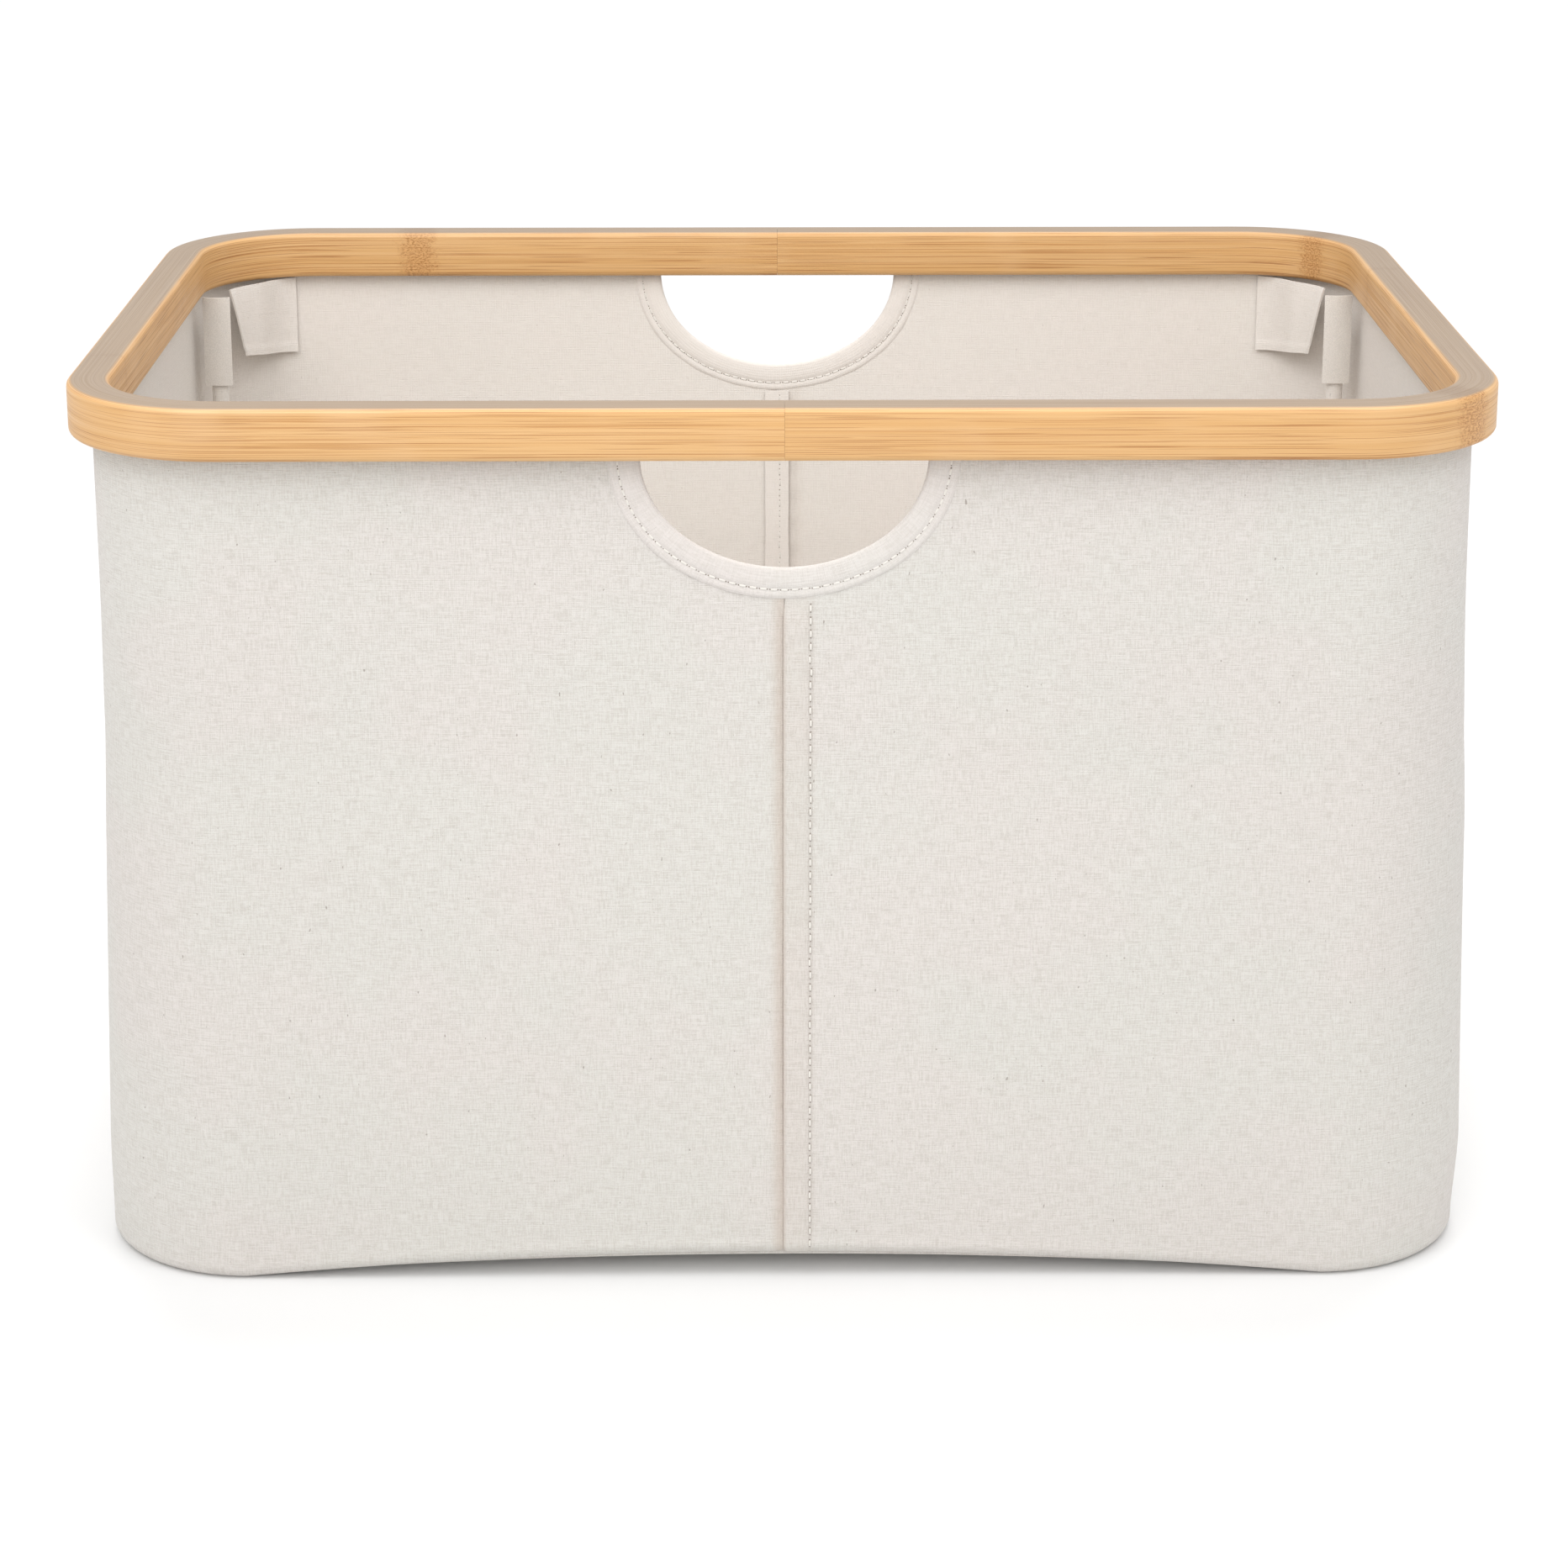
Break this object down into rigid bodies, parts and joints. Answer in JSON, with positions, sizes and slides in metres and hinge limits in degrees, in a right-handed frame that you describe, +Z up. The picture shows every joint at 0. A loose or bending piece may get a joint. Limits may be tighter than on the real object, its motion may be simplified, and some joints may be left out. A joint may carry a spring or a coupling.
{
  "type": "storage bin",
  "caption": "Rectangular fabric storage bin with a bamboo rim, half-oval hand openings, and corner rods that fold so the rim collapses flat.",
  "frame": {"origin": "middle of the footprint, on the floor", "axes": "+X along the long side, to the right seen from the front; -Y towards the front; +Z up through the open top"},
  "size_m": [0.5, 0.35, 0.32],
  "materials": {
    "bamboo": "satin lacquered, fine grain along the bar with darker growth nodes",
    "cotton_canvas": "matte off-white slubby plain weave",
    "cotton_binding": "matte off-white plain weave, folded and stitched",
    "fibreglass": "satin off-white rod",
    "cap_plastic": "matte moulded plastic",
    "retainer_plastic": "matte extruded strip",
    "hook_loop_tape": "matte white hook-and-loop pile"
  },
  "bodies": {
    "bag": {"base_panel": "cotton_canvas", "body_panel_left": "cotton_canvas", "body_panel_right": "cotton_canvas", "front_seam_binding": "cotton_binding", "rear_seam_binding": "cotton_binding", "front_handle_binding": "cotton_binding", "rear_handle_binding": "cotton_binding", "rod_pocket_front_left": "cotton_canvas", "rod_pocket_front_right": "cotton_canvas", "rod_pocket_rear_right": "cotton_canvas", "rod_pocket_rear_left": "cotton_canvas"},
    "rim": {"rim_half_left": "bamboo", "rim_half_right": "bamboo", "hem_retainer_left": "retainer_plastic", "hem_retainer_right": "retainer_plastic"},
    "rod_front_left": {"corner_rod_front_left": "fibreglass", "rod_foot_cap_front_left": "cap_plastic", "rod_top_cap_front_left": "cap_plastic", "rod_sleeve_front_left": "cotton_canvas", "hook_tape_front_left": "hook_loop_tape"},
    "flap_front_left": {"corner_flap_front_left": "cotton_canvas", "loop_tape_front_left": "hook_loop_tape"},
    "rod_front_right": {"corner_rod_front_right": "fibreglass", "rod_foot_cap_front_right": "cap_plastic", "rod_top_cap_front_right": "cap_plastic", "rod_sleeve_front_right": "cotton_canvas", "hook_tape_front_right": "hook_loop_tape"},
    "flap_front_right": {"corner_flap_front_right": "cotton_canvas", "loop_tape_front_right": "hook_loop_tape"},
    "rod_rear_right": {"corner_rod_rear_right": "fibreglass", "rod_foot_cap_rear_right": "cap_plastic", "rod_top_cap_rear_right": "cap_plastic", "rod_sleeve_rear_right": "cotton_canvas", "hook_tape_rear_right": "hook_loop_tape"},
    "flap_rear_right": {"corner_flap_rear_right": "cotton_canvas", "loop_tape_rear_right": "hook_loop_tape"},
    "rod_rear_left": {"corner_rod_rear_left": "fibreglass", "rod_foot_cap_rear_left": "cap_plastic", "rod_top_cap_rear_left": "cap_plastic", "rod_sleeve_rear_left": "cotton_canvas", "hook_tape_rear_left": "hook_loop_tape"},
    "flap_rear_left": {"corner_flap_rear_left": "cotton_canvas", "loop_tape_rear_left": "hook_loop_tape"}
  },
  "joints": [
    {"name": "rim_collapse", "type": "slide", "parent": "bag", "child": "rim", "axis": [0, 0, -1], "range_m": [0, 0.245], "deforming": ["body_panel_left", "body_panel_right", "front_handle_binding", "rear_handle_binding", "front_seam_binding", "rear_seam_binding"]},
    {"name": "rod_fold_front_left", "type": "hinge", "parent": "bag", "child": "rod_front_left", "pos_m": [-0.23029, -0.122, 0.0063], "axis": [0, 1, 0], "range_deg": [0, 87]},
    {"name": "flap_swing_front_left", "type": "hinge", "parent": "rim", "child": "flap_front_left", "pos_m": [-0.20144, -0.15771, 0.3007], "axis": [0, 0, -1], "range_deg": [-4, 80]},
    {"name": "rod_fold_front_right", "type": "hinge", "parent": "bag", "child": "rod_front_right", "pos_m": [0.23029, -0.122, 0.0063], "axis": [-0.0698, -0.9976, 0], "range_deg": [0, 87]},
    {"name": "flap_swing_front_right", "type": "hinge", "parent": "rim", "child": "flap_front_right", "pos_m": [0.20144, -0.15771, 0.3007], "axis": [0, 0, 1], "range_deg": [-4, 80]},
    {"name": "rod_fold_rear_right", "type": "hinge", "parent": "bag", "child": "rod_rear_right", "pos_m": [0.23029, 0.122, 0.0063], "axis": [0, -1, 0], "range_deg": [0, 87]},
    {"name": "flap_swing_rear_right", "type": "hinge", "parent": "rim", "child": "flap_rear_right", "pos_m": [0.20144, 0.15771, 0.3007], "axis": [0, 0, -1], "range_deg": [-4, 80]},
    {"name": "rod_fold_rear_left", "type": "hinge", "parent": "bag", "child": "rod_rear_left", "pos_m": [-0.23029, 0.122, 0.0063], "axis": [0.0698, 0.9976, 0], "range_deg": [0, 87]},
    {"name": "flap_swing_rear_left", "type": "hinge", "parent": "rim", "child": "flap_rear_left", "pos_m": [-0.20144, 0.15771, 0.3007], "axis": [0, 0, 1], "range_deg": [-4, 80]}
  ],
  "couplings": [
    {"joint": "rod_fold_front_left", "follows": "rim_collapse", "rad_per_m": 6.1977},
    {"joint": "rod_fold_front_right", "follows": "rim_collapse", "rad_per_m": 6.1977},
    {"joint": "rod_fold_rear_right", "follows": "rim_collapse", "rad_per_m": 6.1977},
    {"joint": "rod_fold_rear_left", "follows": "rim_collapse", "rad_per_m": 6.1977}
  ]
}
